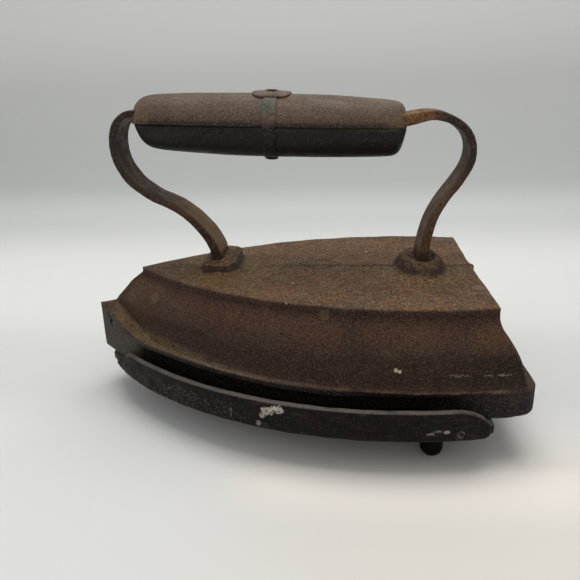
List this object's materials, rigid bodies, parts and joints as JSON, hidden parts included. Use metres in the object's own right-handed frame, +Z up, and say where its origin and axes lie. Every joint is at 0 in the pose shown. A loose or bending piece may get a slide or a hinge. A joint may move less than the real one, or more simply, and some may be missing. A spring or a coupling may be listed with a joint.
{
  "type": "flat iron on trivet",
  "caption": "Solid cast flat iron with a pointed prow, flared sides and a barrel grip on a forged strap handle, resting on a railed trivet with peg feet.",
  "frame": {"origin": "on the floor under the feet, at the centre of the object's footprint", "axes": "+X toward the heel of the iron, the pointed prow faces -X, +Y across the iron, +Z up"},
  "size_m": [0.194, 0.1456, 0.1407],
  "materials": {
    "body_iron": "dull, handled brown cast iron with light rust",
    "strap_iron": "dull brown forged iron with orange rust near the bends",
    "shell_upper": "worn satin brown sheet metal",
    "shell_lower": "satin black sheet metal",
    "packing_wood": "raw hidden wood",
    "band_metal": "dull grey worn metal",
    "rivet_iron": "dull dark iron",
    "trivet_iron": "near black iron with pale scratches",
    "foot_iron": "blue black iron"
  },
  "bodies": {
    "trivet": {"trivet_plate": "trivet_iron", "trivet_rail_left": "trivet_iron", "trivet_rail_right": "trivet_iron", "rail_rivets_left": "rivet_iron", "rail_rivets_right": "rivet_iron", "trivet_foot_front": "foot_iron", "trivet_foot_rear_left": "foot_iron", "trivet_foot_rear_right": "foot_iron"},
    "iron": {"body_casting": "body_iron", "handle_strap": "strap_iron", "grip_upper_shell": "shell_upper", "grip_lower_shell": "shell_lower", "grip_packing_upper": "packing_wood", "grip_packing_lower": "packing_wood", "grip_band": "band_metal", "grip_top_plate": "band_metal", "grip_rivet": "rivet_iron"}
  },
  "joints": [
    {"name": "iron_lift", "type": "slide", "parent": "trivet", "child": "iron", "axis": [0, 0, 1], "range_m": [0, 0.15]}
  ]
}
